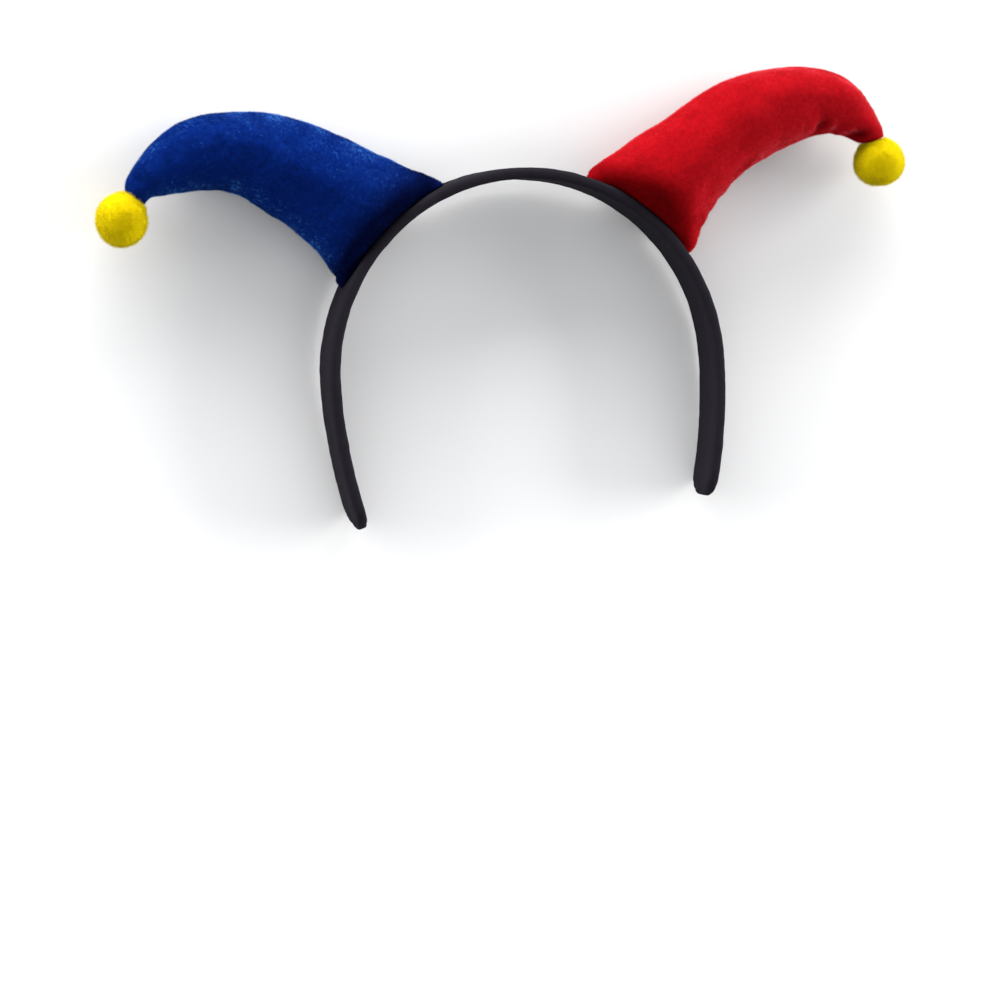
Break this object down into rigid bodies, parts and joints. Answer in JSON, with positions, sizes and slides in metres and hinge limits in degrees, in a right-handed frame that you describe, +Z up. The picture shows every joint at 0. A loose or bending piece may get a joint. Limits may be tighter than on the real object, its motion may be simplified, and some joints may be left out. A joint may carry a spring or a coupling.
{
  "type": "clown headband",
  "caption": "Cloth-covered headband with a pair of curved stuffed plush horns, blue and red, each ending in a small yellow pompom.",
  "frame": {"origin": "on the surface that it lies on, under the middle of its box", "axes": "+X across the head to the red horn, +Y along the surface to the crown, +Z up out of the front of the band"},
  "size_m": [0.3486, 0.1776, 0.0345],
  "materials": {
    "band_cloth": "plain black woven cloth over a plastic strip",
    "blue_plush": "short-pile plush with a soft sheen",
    "red_plush": "short-pile plush with a soft sheen",
    "yellow_pile": "dense soft yarn ends"
  },
  "bodies": {
    "root": {"band": "band_cloth", "horn_blue": "blue_plush", "horn_red": "red_plush", "pompom_blue_tip": "yellow_pile", "pompom_red_tip": "yellow_pile"}
  },
  "joints": []
}
